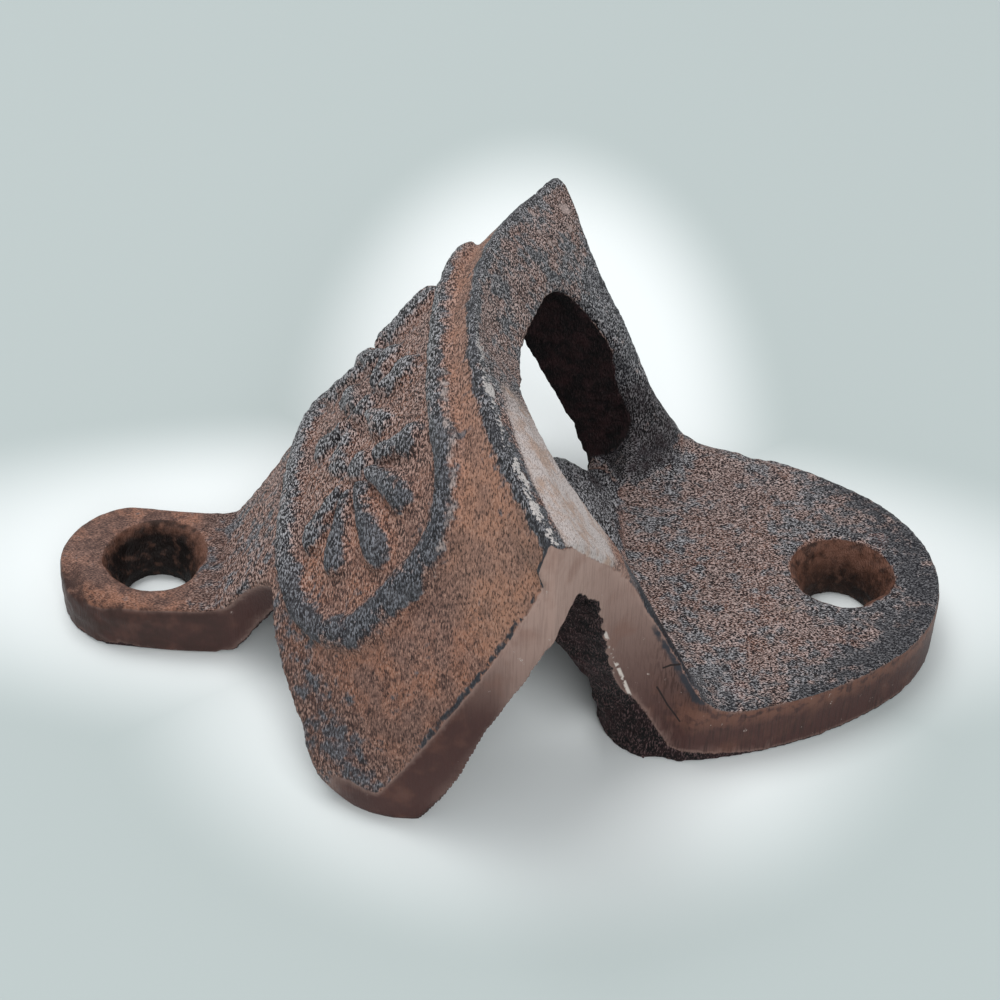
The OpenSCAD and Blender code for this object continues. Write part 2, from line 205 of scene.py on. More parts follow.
# Places on the hood: up from the bend, across, and above or below its outer face
hood_rise = ridge_mid - hood_bend
hood_length = np.linalg.norm(hood_rise)
hood_along = hood_rise / hood_length
hood_out = np.array([-hood_along[1], hood_along[0]])


def on_hood():
    """How far each point is up the hood from its bend, and above its outer face."""
    from_bend = points[:, [0, 2]] - hood_bend
    up = from_bend @ hood_along
    curl = hood_curl[0] + (hood_curl[1] - hood_curl[0]) * (up / hood_length) ** 2
    return up, from_bend @ hood_out + curl * (np.abs(points[:, 1]) / hood_half) ** 3


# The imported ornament's facets are pressed flat, and the full strokes are raised in their place
up, above = on_hood()
ornament_zone = within(up, 8, 9, 34.8, 35.4) * over(above, 0, 0.04)
points[:, [0, 2]] -= (above * ornament_zone)[:, None] * hood_out
points = evened(points, 6, (0.5 * evened(ornament_zone, 4))[:, None])
up, above = on_hood()
placed()
normals = evened(read(skin.vertices, "normal", 3).astype(float), 1)
edges = rise(1 - np.linalg.norm(evened(normals, 8), axis=1), 0.03, 0.16)
x, y, z = points.T
wide = np.abs(y)
side = wide / hood_half

# Places on the front: past the ridge, and above or below the legs' front face
ridge_x = ridge_mid[0] + ridge_sweep * side ** 2
ridge_z = ridge_mid[1] - ridge_fall * side ** 2
past_ridge = x - ridge_x
nose_x = ridge_x + nose_runs[0] + (nose_runs[1] - nose_runs[0]) * rise(wide, 0, window_half)
nose_z = ridge_z - nose_fall
fall_x = leg_front + leg_front_sweep * side ** 2 - nose_x
fall_z = plate_thick - nose_z
fall = np.hypot(fall_x, fall_z)
fallen = np.clip(((x - nose_x) * fall_x + (z - nose_z) * fall_z) / fall ** 2, 0, 1)
ahead = ((z - nose_z) * fall_x - (x - nose_x) * fall_z) / fall - leg_bulge * np.sin(math.pi * fallen)

# The opening is a little wider than drawn: at the near shoulder, and at the far leg's rear edge
shoulder_lift = 1.1 * mm
rear_shift = 1.2 * mm
shoulder = over(fallen * fall, 1.5, 4) * within(y, -18, -14, -6, -2)
shoulder *= shoulder_lift * over(z, 15, 20) * over(ahead, -7, -5) / fall
far_rear = over(y, 10, 14) * under(ahead, -4.5, -2) * under(above, -7.5, -5.5) * within(z, 7, 11, 23, 27)
points[:, 0] += evened(rear_shift * far_rear - shoulder * fall_x, 6)
points[:, 2] -= evened(shoulder * fall_z, 6)

# The casting's faces, as shares from 0 to 1 at each point
outward = np.sign(y) * normals[:, 1]
facing_out = normals[:, [0, 2]] @ hood_out
shield = over(above, -0.7, -0.35) * over(up, 0, 1.5) * under(past_ridge, -0.2, 0.5)
shield = np.maximum(shield, rise(facing_out, 0.4, 0.7) * over(above, -2.6, -2) * over(up, 15, 18))
lip_depth = 1.9 * mm
lip = lip_depth * under(z, 13, 20)
front = over(ahead + lip, -0.8, -0.4) * over(past_ridge, -0.2, 0.5) * over(z, 7, 9)
nose = over(past_ridge, -0.4, 0.2) * over(nose_x - x, -1.5, -0.5) * over(z - nose_z, -1.5, -0.5)
front = np.maximum(front, nose * rise(normals[:, 2], 0.2, 0.4)) * (1 - rise(outward, 0.6, 0.85))
hole = under(from_hole() - sink_r, -0.3, 0.3)

# The ground sides: where the skin faces outwards, but not on the heels of the feet
tips = np.where(x > hole_x, normals[:, 0], np.where(x < -hole_x, -normals[:, 0], 0))
hood_edge = over(above, -4.2, -3.6) * within(up, -9, -7, 15, 17)
upright = 1 - rise(normals[:, 2], 0.4, 0.65)
upright *= 1 - rise(-normals[:, 2] - 0.5 * hood_edge, 0.15, 0.3)
ground = rise(np.maximum(outward, tips), 0.3, 0.55) * upright * (1 - hole) * (1 - front)
hood_side = over(wide, 27.15, 27.35)
hood_part = over(wide, 26, 26.5) * under(past_ridge, -0.3, 0.5)
ground = np.maximum(ground * (1 - shield) * (1 - hood_part), hood_side * (1 - front))
ground_tips = evened(lobe_tips, 2) * under(z, 3.5, 5) * rise(0.35 - normals[:, 2], 0, 0.2)
ground = np.maximum(ground, ground_tips)
heel_top = 7.2 * mm
heel_start = 11.7 * mm
heel_slope = 0.62
edge_middle = 15 * mm
edge_height = 1.5 * mm
edge_slope = 0.15
heel_x = heel_start + heel_slope * (heel_top - z)
heel = over(heel_x - x, -0.4, 0.2) * over(x, 6, 7) * under(z, 7, 8)
heel_edge_z = edge_height - edge_slope * (x - edge_middle)
heel_edge = over(heel_edge_z - z, -0.3, 0.2) * over(x, 6, 7)
ground = evened(ground * (1 - np.maximum(heel, heel_edge)), 2)

# The faces that lie open to above, and the hollow that is left
shield = shield * (1 - hood_side)
tongue = rise(normals[:, 0] + normals[:, 2], 0.5, 0.8) * under(x - tongue_x, -1.5, 0) * over(x, 0, 2)
tongue *= under(wide - tongue_half, -1, 0) * under(z - tongue_top, 0, 0.6)
open_top = rise(normals[:, 2], 0.2, 0.45) * (1 - ground) * (1 - hole)
plate = open_top * over(x, 7, 8) * under(z, 14, 17) * (1 - front) * (1 - tongue)
ear = open_top * under(x - hood_bend[0], -0.6, 1.2) * (1 - shield)
hollow = np.clip(1 - shield - hood_side - ground - plate - ear - front - tongue - hole, 0, 1)

# The ornament: a rosette between two palmettes in a bead, with every stroke round-topped
ornament_height = 1.0 * mm
bead_low = 11.4 * mm
bead_below_ridge = 4.3 * mm
bead_from_side = 7.1 * mm
bead_half_w = 1.4 * mm
bead_corner = 7 * mm
bead_high = hood_length - bead_below_ridge
bead_across = hood_half - bead_from_side - bead_corner
bead_up = (bead_high - bead_low) / 2 - bead_corner
ornament_up = (bead_low + bead_high) / 2
petals = 6
petal_reach = 5.6 * mm
flutes = 5
flute_angle = math.radians(34)
flute_across = 8.8 * mm
flute_up = 7 * mm
palmette_out = 7.8 * mm
stroke_gap = 2.8 * mm
stroke_start = 0.75 * mm
stroke_tip = 1.65 * mm
stroke_wander = 0.22 * mm
wander_size = 1.7 * mm
knob_r = 1.6 * mm


def stroke(distance, reach):
    """The round top of a stroke, from 0 at its reach to 1 at its middle."""
    return np.clip(1 - (distance / reach) ** 2, 0, 1) ** 0.6


def petal(middle, angle, reach):
    """A petal or flute that points away from a middle and widens to a round tip."""
    along = (wavy_y - middle) * math.cos(angle) + wavy_up * math.sin(angle)
    off = wavy_up * math.cos(angle) - (wavy_y - middle) * math.sin(angle)
    nearest = np.clip(along, stroke_gap, reach)
    width = stroke_start + (stroke_tip - stroke_start) * (nearest - stroke_gap) / (reach - stroke_gap)
    return stroke(np.hypot(off, along - nearest), width)


wavy_y = y + stroke_wander * grain(wander_size, 3)
wavy_up = up + stroke_wander * grain(wander_size, 5) - ornament_up
raised = np.zeros(len(points))
for i in range(petals):
    raised = np.maximum(raised, petal(0, math.pi / 2 + math.tau * i / petals, petal_reach))
for hand in (-1, 1):
    for i in range(flutes):
        turn = flute_angle * (i - (flutes - 1) / 2)
        reach = 1 / math.hypot(math.cos(turn) / flute_across, math.sin(turn) / flute_up)
        angle = math.pi / 2 - hand * (math.pi / 2 - turn)
        raised = np.maximum(raised, petal(hand * palmette_out, angle, reach))
for middle in (-palmette_out, 0, palmette_out):
    raised = np.maximum(raised, stroke(np.hypot(wavy_y - middle, wavy_up), knob_r))
past_y = np.abs(wavy_y) - bead_across
past_up = np.abs(wavy_up) - bead_up
past_bead = np.hypot(np.maximum(past_y, 0), np.maximum(past_up, 0)) - bead_corner
past_bead += np.minimum(np.maximum(past_y, past_up), 0)
raised = np.maximum(raised, stroke(np.abs(past_bead), bead_half_w))
raised = evened(raised * shield, 2)

# The cast skin: lumps and pebbles, coarse in the holes and the hollow, hardly any on the ground sides
ridge_gap = np.hypot(past_ridge, z - ridge_z)
ridge = under(ridge_gap, 0.6, 1.5) * (1 - ground)
skirt = shield * under(up, 9, 14) * over(wide, 8, 14)
neck = over(x, -29.5, -26) * under(up, 8, 12) * under(wide, 8, 13)
bare_neck = neck * (1 - ground)
near_leg = under(y, -17, -8)
lows = shield * under(past_bead, 0, 1)
grainy = shield * np.clip(0.22 + 0.6 * raised + 0.5 * lows + 0.5 * skirt, 0, 1)
grainy *= 1 - 0.68 * under(y, -18, -4)
grainy = np.maximum.reduce((
    grainy, plate, tongue, front * (0.95 - 0.6 * near_leg), 0.65 * bare_neck,
    0.9 * hollow, 0.35 * hole, 0.08 * ear, 0.65 * ridge,
))
hole_lumps = 0.3 * mm
edge_lumps = 0.04 * mm
ear_lumps = 0.14 * mm
far_leg_swell = 0.5 * mm
lumps = grain(2.4 * mm)
pebbles = grain(0.9 * mm, 7)
grit = grain(0.55 * mm, 13)
rough = mm * (0.02 + 0.11 * grainy + 0.04 * hollow)
rough *= (1 - 0.7 * ground) * (1 - 0.6 * front) * (1 - 0.6 * edges)
height = ornament_height * raised + rough * (0.5 * lumps + pebbles + 0.7 * grit)
height += hole_lumps * hole * over(z, 0.4, 1.6) * (lumps + 0.5 * pebbles)
height += (edge_lumps * edges * (1 - hole) + ear_lumps * ear_wear) * (lumps + pebbles)
height += far_leg_swell * evened(front * over(y, 13, 18) * within(z, 5, 8, 20, 26), 8)
resting = under(z, 0.05, 0.25)
points = points + normals * (height * (1 - resting))[:, None]
points[:, 2] = np.maximum(points[:, 2], 0)
placed()

# Where the skin is dark: on the strokes, the ridge, the far leg, the plate's rim, the webs and the tongue
rim = over(wide, 26.85, 27.05) * shield * over(up, 12, 18)
leg_rim = front * under(y, -17, -15) * under(z, 17, 22)
webbed = within(x, 7, 9, 16, 19) * over(wide, 7, 10) * within(z, 5.8, 6.8, 14, 18) * (1 - ground)
far_leg = over(y, 4, 16) * under(z, 23, 28.5)
apex = over(y, 19, 23) * over(z, 26.5, 28.5)
ridge_blend = under(ridge_gap, 1, 5.5) * over(y, -24, -16) * (1 - ground)
ridge_strip = front * (1 - over(past_ridge, 1.2, 2.8)) * under(y, -8, -1)
leg_foot = under(np.abs(x - leg_front), 1, 6) * under(z, 6, 16)
sink_ring = under(np.hypot(x - hole_x, y), 5, 8.5)
plate_middle = 20 * mm
plate_rim = over(np.hypot(x - plate_middle, y), 16, 21)
plate_soot = 0.32 + 0.25 * over(x, 22, 34) + 0.2 * under(y, -16, -7)
plate_soot += 0.2 * leg_foot + 0.15 * sink_ring + 0.4 * plate_rim
soot = np.maximum.reduce((
    shield * np.clip(0.85 * evened(raised, 10) + 0.5 * skirt + 0.12 * lows + rim, 0, 1),
    ridge,
    (0.5 - 0.3 * shield) * ridge_blend,
    front * np.clip(0.5 + 0.5 * far_leg - 0.4 * near_leg, 0, 1) * (1 - 0.6 * apex),
    0.7 * ridge_strip,
    plate * np.clip(plate_soot, 0, 1),
    webbed,
    tongue,
    0.4 * bare_neck,
    leg_rim,
))
navy = np.maximum.reduce((
    plate * np.clip(0.8 * plate_rim + 0.6 * over(x, 24, 34) + 0.35 * under(y, -15, -8), 0, 1),
    0.6 * webbed,
    front * (0.4 + 0.25 * far_leg - 0.4 * near_leg - 0.3 * apex),
    leg_rim,
    1.3 * rim,
    0.6 * ridge,
))

# Where it is rubbed pale with a painted sheen, chipped, or dusted with a painted highlight:
# the near leg's front, the ridge, the edges and past the bead
rubbed_and_sheen = front * under(y, -16, -1) * over(z, 19.5, 25) * over(past_ridge, 0.8, 2.4)
worn_side = front * under(y, -21, -14) * within(z, 14, 17, 20, 25.5)
chip_line = 0.5 * mm
ridge_chips = under(np.abs(past_ridge - chip_line), 0.4, 0.8) * over(z - ridge_z, -2, -1) * (1 - ground)
ridge_chips *= under(y, -4, 2) * (0.85 + 0.15 * under(y, -20, -16))
edge_chips = 0.55 * edges * evened(ground, 3) * (1 - resting) * over(z, 1.5, 4)
edge_chips *= 1 + 0.4 * over(x, 12, 16)
dust_and_highlight = 0.68 * shield * within(past_bead, 0.5, 0.9, 1.1, 1.7) * over(wavy_up, 2, 6) * under(y, -8, 0)
channel = shield * (1 - lows) * (1 - raised) * over(up, 24, 29)

# The ground sides' painted shade lower down, rust and lines, painted shade in the holes and the hollow,
# grime and shade
# Painted shade: the ground sides grow darker towards the base
painted_low_shade = ground * under(z, 2, 28)
painted_low_shade = np.maximum(painted_low_shade, ground * under(z, 11, 25) * under(x, 0, 4) * under(y, -5, 0))
side_rim = ground * over(ahead, -1.9, -0.4) * within(z, 6.2, 7.4, 12, 18) * over(x, 4, 8)
side_rust = ground * within(z, 3.2, 5, 6, 7) * over(x, 14, 17)
lined = ground * over(x, 12.5, 16)
# Painted shade in the holes: darker lower down, and lighter on the inner wall, where the light falls
lit_inner_wall = np.where(x < 0, over(x + hole_x, 2, 4.2), over(hole_x - x, 2, 4.2))
painted_hole_shade = hole * np.where(x < 0, under(z, 3.4, 5.4), 0.6 * under(z, 1.5, 5.2)) * (1 - 0.75 * lit_inner_wall)
hollow = np.maximum(hollow, 0.5 * webbed)
lobe_low = shield * under(z, 7, 17) * over(wide, 10, 18) * (1 - neck)
# Grime on the ear and its worn rim, and painted shade on the ear's ground side and the lower lobes
grime_and_shade = 0.5 * ear + 0.8 * under(x, -26, -22) * ground + 0.5 * ear_wear + 0.3 * lobe_low

shares = {
    "soot": soot,
    "navy": navy,
    "grainy": grainy * (1 - np.maximum(rim, 0.8 * leg_rim)),
    "flat_grain": np.clip(plate + ear, 0, 1) * (1 - hole),
    "front_grain": front,
    "rubbed_and_sheen": rubbed_and_sheen,
    "chips": np.maximum(ridge_chips, edge_chips),
    "dust_and_highlight": dust_and_highlight,
    "channel": channel,
    "ground": np.maximum(ground, 0.62 * worn_side),
    "painted_low_shade": painted_low_shade,
    "side_rim": side_rim,
    "side_rust": side_rust,
    "lined": lined,
    "hole": hole,
    "painted_hole_shade": painted_hole_shade,
    "hollow": hollow,
    # painted shade, deeper in the far part of the hollow
    "far_cave_shade": hollow * over(y, 4, 10),
    "grime_and_shade": grime_and_shade,
}
for name, share in shares.items():
    layer = skin.attributes.new(name, "FLOAT", "POINT")
    layer.data.foreach_set("value", np.clip(share, 0, 1).astype(np.float32))
skin = applied(skin, "DECIMATE", {"ratio": skin_triangles / (2 * len(skin.polygons))})
skin.shade_smooth()


class Wire:
    """A socket of a finish's nodes that works in Python expressions."""

    def __init__(self, tree, socket=None):
        self.tree = tree
        self.socket = socket

    def node(self, kind, settings, inputs, output=0):
        """A new node with its settings, then its sockets' values or wires, as the wire of one output."""
        made = self.tree.nodes.new(kind)
        for name, value in settings.items():
            setattr(made, name, value)
        for key, value in inputs.items():
            if isinstance(value, Wire):
                self.tree.links.new(value.socket, made.inputs[key])
            else:
                made.inputs[key].default_value = value
        return Wire(self.tree, made.outputs[output])

    def math(self, operation, *values):
        return self.node("ShaderNodeMath", {"operation": operation}, dict(enumerate(values)))

    def __add__(self, other):
        return self.math("ADD", self, other)

    def __sub__(self, other):
        return self.math("SUBTRACT", self, other)

    def __rsub__(self, other):
        return self.math("SUBTRACT", other, self)

    def __mul__(self, other):
        return self.math("MULTIPLY", self, other)

    __radd__ = __add__
    __rmul__ = __mul__

    def vector(self, operation, *values, output=0):
        return self.node("ShaderNodeVectorMath", {"operation": operation}, dict(enumerate(values)), output)

    def rise(self, low, high):
        """A smooth step from 0 at low to 1 at high."""
        limits = {"Value": self, "From Min": low, "From Max": high}
        return self.node("ShaderNodeMapRange", {"interpolation_type": "SMOOTHSTEP"}, limits)

    def tint(self, low, high):
        """One colour where the wire is 0 and another where it is 1."""
        return self.node("ShaderNodeMix", {"data_type": "RGBA"}, {0: self, 6: low, 7: high}, 2)

    def stretched(self, scale):
        return self.vector("MULTIPLY", self, scale)

    def noise(self, size, detail=2.0, twist=0.0):
        """Noise on this place, with lumps of the given size."""
        sockets = {"Vector": self, "Scale": 1 / size, "Detail": detail, "Distortion": twist}
        return self.node("ShaderNodeTexNoise", {}, sockets)


# The finish: rust-brown stain, dark rubbed iron, taupe ground sides, near-black hollows and white chips
iron = bpy.data.materials.new("weathered_iron")
iron.use_nodes = True
iron.node_tree.nodes.clear()
start = Wire(iron.node_tree)
place = start.node("ShaderNodeTexCoord", {}, {}, "Object")


def share_of(name):
    """A face's share, as stored on the mesh."""
    return start.node("ShaderNodeAttribute", {"attribute_name": name}, {}, "Fac")


ground_share = share_of("ground")
grainy_share = share_of("grainy")
hollow_share = share_of("hollow")

# The grain of the skin: grit drawn out across the hood, down the front and along the flats
hood_grit = place.stretched((1, 0.36, 0.36)).noise(0.115 * mm, 1.5, 0.4)
front_grit = place.stretched((1, 0.4, 0.32)).noise(0.09 * mm, 1, 0.3)
flat_grit = place.stretched((0.5, 1, 1)).noise(0.11 * mm, 1, 0.3)
grit_skin = hood_grit + share_of("front_grain") * (front_grit - hood_grit)
grit_skin = grit_skin + share_of("flat_grain") * (flat_grit - hood_grit)
fine = place.noise(0.09 * mm, 1)
patch = place.noise(0.8 * mm, 3)
calm = place.noise(1.7 * mm, 2)
blotch = place.noise(2.6 * mm, 3)
cloud = place.noise(8 * mm, 2)
mixed = 0.85 * grit_skin + 0.15 * fine
crest = (mixed - 0.5) * (0.3 + grainy_share * (0.6 + calm.rise(0.35, 0.65)))

# Rust-brown stain, with dark iron where the soot is
dull_rust = (0.27, 0.15, 0.118, 1)
warm_rust = (0.35, 0.158, 0.098, 1)
deep_rust = (0.12, 0.058, 0.045, 1)
channel_rust = (0.5, 0.29, 0.2, 1)
shaded_rust = (0.12, 0.068, 0.056, 1)
black_iron = (0.02, 0.022, 0.03, 1)
grey_iron = (0.09, 0.088, 0.098, 1)
brown = (0.5 * blotch + 0.5 * cloud).rise(0.4, 0.62).tint(dull_rust, warm_rust)
brown = (0.8 * patch.rise(0.54, 0.34)).tint(brown, deep_rust)
brown = (0.32 * share_of("channel")).tint(brown, channel_rust)
brown = (0.45 * (0.5 * cloud + 0.5 * blotch).rise(0.56, 0.36)).tint(brown, shaded_rust)
slate = (0.5 * patch + 0.5 * blotch).rise(0.38, 0.62).tint(black_iron, grey_iron)
dark = share_of("soot") + 1.4 * (patch - 0.5) + 1.8 * (blotch - 0.5) - 0.8 * crest
dark = dark.rise(0.25, 0.72)
colour = dark.tint(brown, slate)


def spot(middle_mm, radius_mm):
    """How near a place is to a round mark with a ragged edge, from 0 to 1."""
    gap = place.vector("DISTANCE", place, Vector(middle_mm) * mm, output="Value")
    return (gap + 1.6 * radius_mm * mm * (patch - 0.5)).rise(radius_mm * mm, 0.55 * radius_mm * mm)


# Marks on the plate's top, under its grain: the place of each and its radius, in millimetres
pink_mark = (0.23, 0.115, 0.1, 1)
dark_mark = (0.035, 0.038, 0.048, 1)
orange_mark = (0.3, 0.18, 0.11, 1)
plate_marks = (
    (pink_mark, (36.1, 4.6), 1.3),
    (pink_mark, (29.7, -10.9), 1.1),
    (pink_mark, (20.9, -16.4), 1.2),
    (pink_mark, (35, -2), 1),
    (dark_mark, (26.4, 13.5), 1.4),
    (dark_mark, (21.4, -10), 0.8),
    (dark_mark, (20, -17.8), 1.3),
    (orange_mark, (26.4, -5.5), 0.8),
)
for mark, middle, radius in plate_marks:
    colour = (0.9 * spot((*middle, plate_thick / mm), radius)).tint(colour, mark)

# The grain's black pits, dirt with painted shade in them, and pale crests, wear with painted glints on
# them, and the blue-black of the rims, the ridge and the front
pit_dirt_and_shade = (0.007, 0.005, 0.006, 1)
rust_crest = (0.42, 0.24, 0.175, 1)
dry_crest = (0.56, 0.43, 0.4, 1)
iron_crest = (0.21, 0.215, 0.24, 1)
bright_crest = (0.48, 0.47, 0.49, 1)
blue_black = (0.014, 0.015, 0.021, 1)
colour = ((0.75 + 0.2 * grainy_share) * crest.rise(0.01, -0.06)).tint(colour, pit_dirt_and_shade)
pale = grainy_share.tint(rust_crest, dry_crest)
pale = dark.tint(pale, grainy_share.rise(0.3, 1).tint(iron_crest, bright_crest))
colour = (0.95 * crest.rise(0.01, 0.08)).tint(colour, pale)
navy_share = (share_of("navy") + 1.4 * (patch - 0.5) + 1.4 * (blotch - 0.5)).rise(0.4, 1)
colour = (0.65 * navy_share).tint(colour, blue_black)

# Pale dusting with a painted highlight past the bead, and the near leg's front rubbed pale with a painted
# sheen
pale_dust_highlight = (0.47, 0.38, 0.345, 1)
grey_tan = (0.58, 0.51, 0.49, 1)
warm_tan = (0.48, 0.34, 0.275, 1)
pitted_tan = (0.24, 0.18, 0.16, 1)
dusty_highlight = (share_of("dust_and_highlight") + 1.2 * (patch - 0.5) + 0.8 * (mixed - 0.5)).rise(0.55, 0.95)
colour = (0.75 * dusty_highlight).tint(colour, pale_dust_highlight)
# The near leg's upper front: rubbed pale tan with a painted sheen
tan = (0.6 * blotch + 0.4 * patch).rise(0.43, 0.62).tint(grey_tan, warm_tan)
# The tan's pits are darkened too, as painted shade
tan = (0.6 * crest.rise(-0.01, -0.08)).tint(tan, pitted_tan)
rubbed_sheen_share = (share_of("rubbed_and_sheen") + 0.5 * (blotch - 0.5) + 0.4 * (mixed - 0.5)).rise(0.3, 0.7)
colour = rubbed_sheen_share.tint(colour, tan)

# Chips near the far end of the ridge: the place of each and its radius, in millimetres
chip_pink = (0.5, 0.39, 0.36, 1)
apex_chips = (
    ((2.3, 19.6, 31.1), 0.4), ((3, 17.6, 30.4), 0.4), ((5.8, 21.9, 28.4), 0.5), ((5.1, 19.3, 28.6), 0.4),
    ((3.9, 17.3, 29.5), 0.4), ((5.6, 20.6, 28.5), 0.4), ((5.3, 23.8, 29.3), 0.8),
)
for middle, radius in apex_chips:
    colour = (0.75 * spot(middle, radius)).tint(colour, chip_pink)

# The ground sides: taupe with painted shade darker lower down, grinding lines, rust, specks, scratches and
# burrs
flat_place = place.stretched((1, 0, 1))


def scratch(start_mm, end_mm, width):
    """How near a place on the ground sides is to a straight scratch, from 0 to 1."""
    begin = Vector(start_mm) * mm
    run = Vector(end_mm) * mm - begin
    off = place.vector("SUBTRACT", flat_place, begin)
    along = place.vector("DOT_PRODUCT", off, run / run.length_squared, output="Value")
    along = along.node("ShaderNodeClamp", {}, {0: along})
    nearest = along.node("ShaderNodeVectorMath", {"operation": "SCALE"}, {0: run, "Scale": along})
    gap = along.vector("DISTANCE", off, nearest, output="Value")
    return (gap + 0.3 * width * (patch - 0.5)).rise(width, 0.4 * width)


taupe_high = (0.43, 0.29, 0.245, 1)
taupe_painted_shade = (0.065, 0.025, 0.021, 1)
line_dark = (0.04, 0.018, 0.015, 1)
stain = (0.2, 0.085, 0.055, 1)
edge_rust = (0.2, 0.088, 0.058, 1)
edge_iron = (0.035, 0.035, 0.044, 1)
speck = (0.5, 0.41, 0.37, 1)
scratch_dark = (0.018, 0.01, 0.009, 1)
burr_pale = (0.62, 0.55, 0.5, 1)
dark_grime_and_shade = (0.04, 0.018, 0.014, 1)
scratch_width = 0.12 * mm
burr_width = 0.2 * mm
lines = place.stretched((1, 1, 0.05)).noise(0.15 * mm, 2)
taupe = share_of("painted_low_shade").tint(taupe_high, taupe_painted_shade)
streaks = (0.16 + 0.64 * share_of("lined")) * (0.75 * lines + 0.25 * blotch).rise(0.46, 0.6)
taupe = streaks.tint(taupe, line_dark)
taupe = (0.3 * (0.7 * blotch + 0.3 * cloud).rise(0.5, 0.68)).tint(taupe, stain)
taupe = (0.7 * share_of("side_rust") * patch.rise(0.36, 0.56)).tint(taupe, edge_rust)
taupe = (share_of("side_rim") + 0.9 * (patch - 0.5)).rise(0.3, 0.7).tint(taupe, edge_iron)
taupe = (patch.rise(0.7, 0.74) * fine.rise(0.45, 0.6)).tint(taupe, speck)
dark_scratches = (
    ((14.4, 0, 9.6), (15, 0, 9.9)), ((15, 0, 9.9), (15.8, 0, 10)),
    ((14, 0, 7.6), (15, 0, 5.8)), ((15, 0, 5.8), (16.1, 0, 4.4)),
)
burr_runs = (((9.1, 0, 15.7), (10.2, 0, 11.5)), ((10.2, 0, 11.5), (11.7, 0, 7.2)))
for begin, end in dark_scratches:
    taupe = scratch(begin, end, scratch_width).tint(taupe, scratch_dark)
for begin, end in burr_runs:
    burrs = scratch(begin, end, burr_width) * patch.rise(0.46, 0.54)
    taupe = burrs.tint(taupe, burr_pale)
colour = ground_share.rise(0.35, 0.6).tint(colour, taupe)
# Grime and painted shade, mottled
mottled = 0.45 + 0.9 * (0.6 * blotch + 0.4 * patch).rise(0.6, 0.4)
colour = (0.75 * share_of("grime_and_shade") * mottled).tint(colour, dark_grime_and_shade)

# The hollow and the holes: near-black painted shade, with a little rust and painted highlights on their
# lumps
hollow_shade_black = (0.002, 0.001, 0.0015, 1)
hollow_rust = (0.025, 0.009, 0.01, 1)
hollow_rust_highlight = (0.15, 0.09, 0.09, 1)
bore_rust = (0.14, 0.062, 0.04, 1)
bore_painted_shade = (0.008, 0.003, 0.002, 1)
bore_black = (0.004, 0.0015, 0.001, 1)
bore_rust_highlight = (0.2, 0.1, 0.07, 1)
# Painted shade: the hollow is near black, darker still at its far side, where the shade is deepest
cave = (0.6 * blotch + 0.4 * patch).rise(0.4, 0.64).tint(hollow_shade_black, hollow_rust)
cave = (0.7 * crest.rise(0, 0.16) * (1 - 0.85 * share_of("far_cave_shade"))).tint(cave, hollow_rust_highlight)
colour = hollow_share.rise(0.3, 0.7).tint(colour, cave)
# Painted shade low in the holes, random dark patches, and rust with painted highlights on the lumps
bore = share_of("painted_hole_shade").rise(0, 0.8).tint(bore_rust, bore_painted_shade)
bore = (0.8 * (0.5 * blotch + 0.5 * patch).rise(0.58, 0.36)).tint(bore, bore_black)
bore = (0.3 * patch.rise(0.52, 0.72)).tint(bore, bore_rust_highlight)
colour = share_of("hole").rise(0.35, 0.7).tint(colour, bore)

# Chips of bare metal along the ridge and the edges
chip_white = (0.58, 0.54, 0.52, 1)
long_chips = 0.6 * place.stretched((1, 0.3, 1)).noise(0.9 * mm, 2) + 0.4 * place.noise(0.3 * mm, 1)
colour = (long_chips + 0.45 * share_of("chips")).rise(0.9, 0.95).tint(colour, chip_white)

bump_height = 0.5 * mm
shine = 0.62 - 0.16 * dark + 0.3 * (fine - 0.5) - 0.1 * ground_share + 0.2 * hollow_share
relief = mixed * (0.12 + 0.88 * grainy_share) * (1 - ground_share) + 0.1 * lines * ground_share
bumped = start.node("ShaderNodeBump", {}, {"Strength": 1.0, "Distance": bump_height, "Height": relief})
surface = start.node(
    "ShaderNodeBsdfPrincipled",
    {},
    {"Base Color": colour, "Roughness": shine, "Normal": bumped, "Specular IOR Level": 0.28},
)
output = iron.node_tree.nodes.new("ShaderNodeOutputMaterial")
iron.node_tree.links.new(surface.socket, output.inputs["Surface"])

skin.materials.clear()
skin.materials.append(iron)
casting = bpy.data.objects.new("casting", skin)
bpy.context.scene.collection.objects.link(casting)
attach(casting, "root")
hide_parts("opener_casting")

# The floor: a plain pale table that the opener lies on, wall face down.
# It is a flat sheet with a smooth matt top, with a painted pool of light round the casting.
floor_half = 1.5
floor_mesh = bpy.data.meshes.new("table")
corners = [
    (-floor_half, -floor_half, 0),
    (floor_half, -floor_half, 0),
    (floor_half, floor_half, 0),
    (-floor_half, floor_half, 0),
]
floor_mesh.from_pydata(corners, [], [(0, 1, 2, 3)])
floor = bpy.data.objects.new("table", floor_mesh)
bpy.context.scene.collection.objects.link(floor)
pale_table = bpy.data.materials.new("pale_table")
pale_table.use_nodes = True
pale_table.node_tree.nodes.clear()
table_start = Wire(pale_table.node_tree)
table_place = table_start.node("ShaderNodeTexCoord", {}, {}, "Object")


def halo(middle, stretch):
    """How far a place on the table is from a middle, with each way stretched by its own share."""
    off = table_place.vector("SUBTRACT", table_place, middle)
    return off.vector("LENGTH", off.stretched(stretch), output="Value")


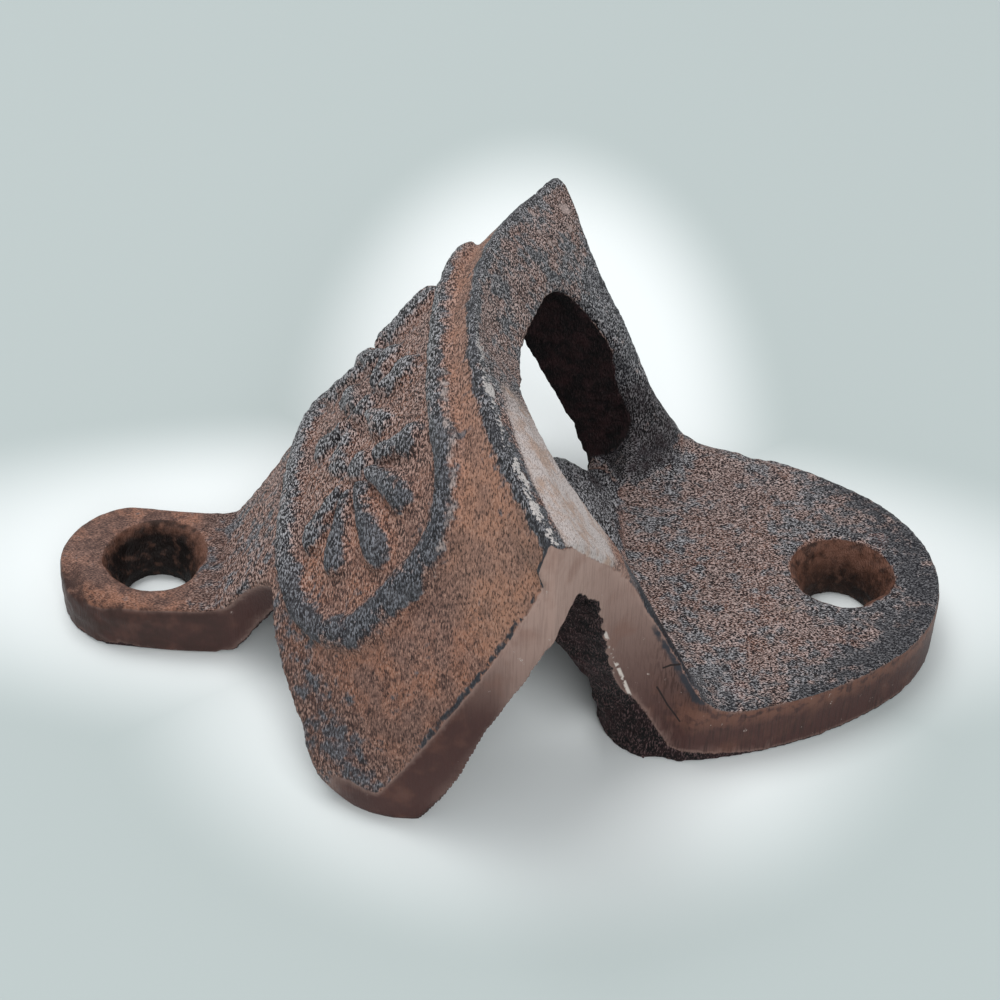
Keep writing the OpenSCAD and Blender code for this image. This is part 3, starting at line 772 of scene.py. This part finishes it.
# Painted light: the table is painted white round the casting as a glow, fading to grey further off
beside = halo((-0.003, 0.005, 0), (0.7, 1.8, 1))
before = halo((0.003, -0.007, 0), (1.25, 1.4, 1))
behind = halo((0.003, 0.035, 0), (1.75, 0.77, 1))
nearest_halo = beside.math("MINIMUM", beside, before.math("MINIMUM", before, behind))
halo_start = 25 * mm
halo_end = 50 * mm
table_painted_glow = (0.87, 0.91, 0.91, 1)
table_grey = (0.475, 0.535, 0.53, 1)
table_colour = nearest_halo.rise(halo_start, halo_end).tint(table_painted_glow, table_grey)
table_surface = table_start.node(
    "ShaderNodeBsdfPrincipled",
    {},
    {"Base Color": table_colour, "Roughness": 0.6, "Specular IOR Level": 0.2},
)
table_output = pale_table.node_tree.nodes.new("ShaderNodeOutputMaterial")
pale_table.node_tree.links.new(table_surface.socket, table_output.inputs["Surface"])
floor_mesh.materials.append(pale_table)

# Light: a broad soft lamp overhead and a little behind, a second one further off in front,
# and a pale room all round.
world = bpy.data.worlds.new("room")
bpy.context.scene.world = world
world.use_nodes = True
room = world.node_tree.nodes["Background"]
room.inputs["Color"].default_value = (0.95, 0.98, 1.0, 1)
room.inputs["Strength"].default_value = 0.5


def lamp(name, place_m, aim_m, width, watts):
    """A square soft lamp at a place, turned to its aim."""
    light = bpy.data.lights.new(name, "AREA")
    light.size = width
    light.energy = watts
    holder = bpy.data.objects.new(name, light)
    holder.location = place_m
    holder.rotation_mode = "QUATERNION"
    holder.rotation_quaternion = (Vector(aim_m) - Vector(place_m)).to_track_quat("-Z", "Y")
    bpy.context.scene.collection.objects.link(holder)


lamp("lamp_over", place_m=(-0.22, 0.3, 0.96), aim_m=(0, 0, 0), width=0.65, watts=5.8)
lamp("lamp_front", place_m=(0.24, -0.9, 0.75), aim_m=(0, 0, 0.01), width=0.6, watts=4.9)

# The camera: as the object is seen in the photograph, from the near side and above,
# with its place and turns solved from the screw holes, the wall face and the ridge.
camera_place = Vector((2.111, -135.07, 119.75)) * mm
camera_yaw, camera_pitch, camera_roll = -0.015, 0.670, 0.021
photo_width = 1000
focal_pixels = 1900
camera = bpy.data.cameras.new("camera")
camera.sensor_width = 36
camera.lens = focal_pixels * camera.sensor_width / photo_width
camera.clip_start = 0.01
camera.clip_end = 10
forward = Vector((
    math.sin(camera_yaw) * math.cos(camera_pitch),
    math.cos(camera_yaw) * math.cos(camera_pitch),
    -math.sin(camera_pitch),
))
right = Vector((math.cos(camera_yaw), -math.sin(camera_yaw), 0))
top = right.cross(forward)
turned_right = right * math.cos(camera_roll) + top * math.sin(camera_roll)
turned_top = top * math.cos(camera_roll) - right * math.sin(camera_roll)
camera_holder = bpy.data.objects.new("camera", camera)
axes = Matrix((turned_right, turned_top, -forward)).transposed()
camera_holder.matrix_world = Matrix.Translation(camera_place) @ axes.to_4x4()
bpy.context.scene.collection.objects.link(camera_holder)
bpy.context.scene.camera = camera_holder
bpy.context.scene.view_settings.view_transform = "Standard"
